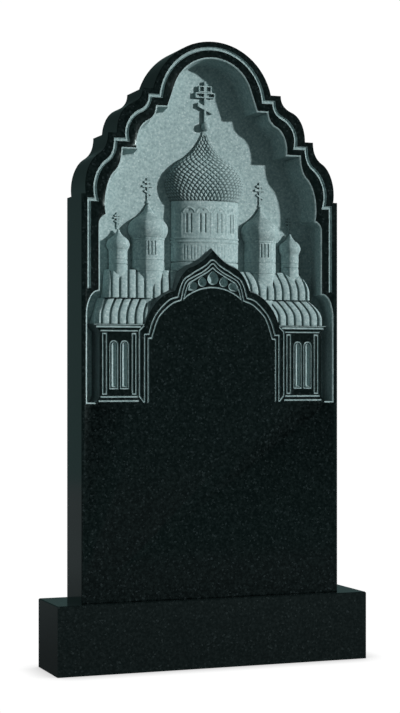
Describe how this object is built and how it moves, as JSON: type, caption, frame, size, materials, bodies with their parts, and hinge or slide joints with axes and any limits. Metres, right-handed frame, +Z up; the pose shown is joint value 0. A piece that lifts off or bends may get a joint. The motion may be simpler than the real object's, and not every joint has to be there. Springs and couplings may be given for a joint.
{
  "type": "headstone",
  "caption": "Upright memorial slab of dark granite on a plinth, with a stepped, lobed crown and a domed church carved in a sunk niche.",
  "frame": {"origin": "on the ground, under the middle of the plinth", "axes": "+Z up, +X to the right as seen from the front, +Y to the back; the carved face looks along -Y"},
  "size_m": [0.72, 0.15, 1.368],
  "materials": {
    "granite_stele": "polished, with frosted carving",
    "granite_plinth": "polished"
  },
  "bodies": {
    "root": {"stele": "granite_stele", "plinth": "granite_plinth"}
  },
  "joints": []
}
